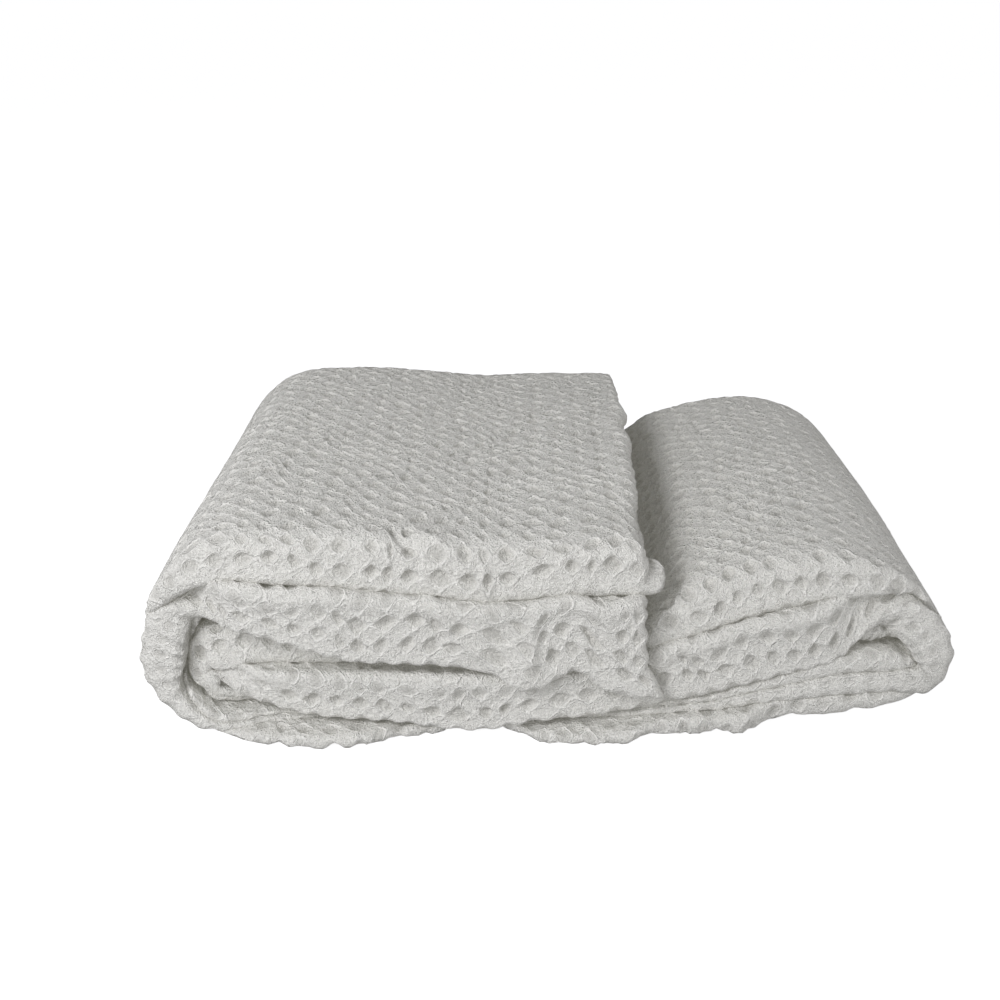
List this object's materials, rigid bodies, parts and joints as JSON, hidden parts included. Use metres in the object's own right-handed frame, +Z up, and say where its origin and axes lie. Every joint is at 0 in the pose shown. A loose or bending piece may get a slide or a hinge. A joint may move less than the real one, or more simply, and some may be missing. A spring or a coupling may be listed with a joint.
{
  "type": "folded waffle duvet cover",
  "caption": "Waffle-weave duvet cover, folded in four and rolled over flat into a soft layered pile that rests on a shelf, bed or floor.",
  "frame": {"origin": "on the flat underside, under the middle of the pile", "axes": "+Z up from the surface it rests on, +X along the pile's long side, the side with the hanging hems facing -Y"},
  "size_m": [0.7261, 0.5075, 0.1951],
  "materials": {
    "waffle_cloth": "matte, raised waffle weave"
  },
  "bodies": {
    "root": {"duvet_cover": "waffle_cloth"}
  },
  "joints": []
}
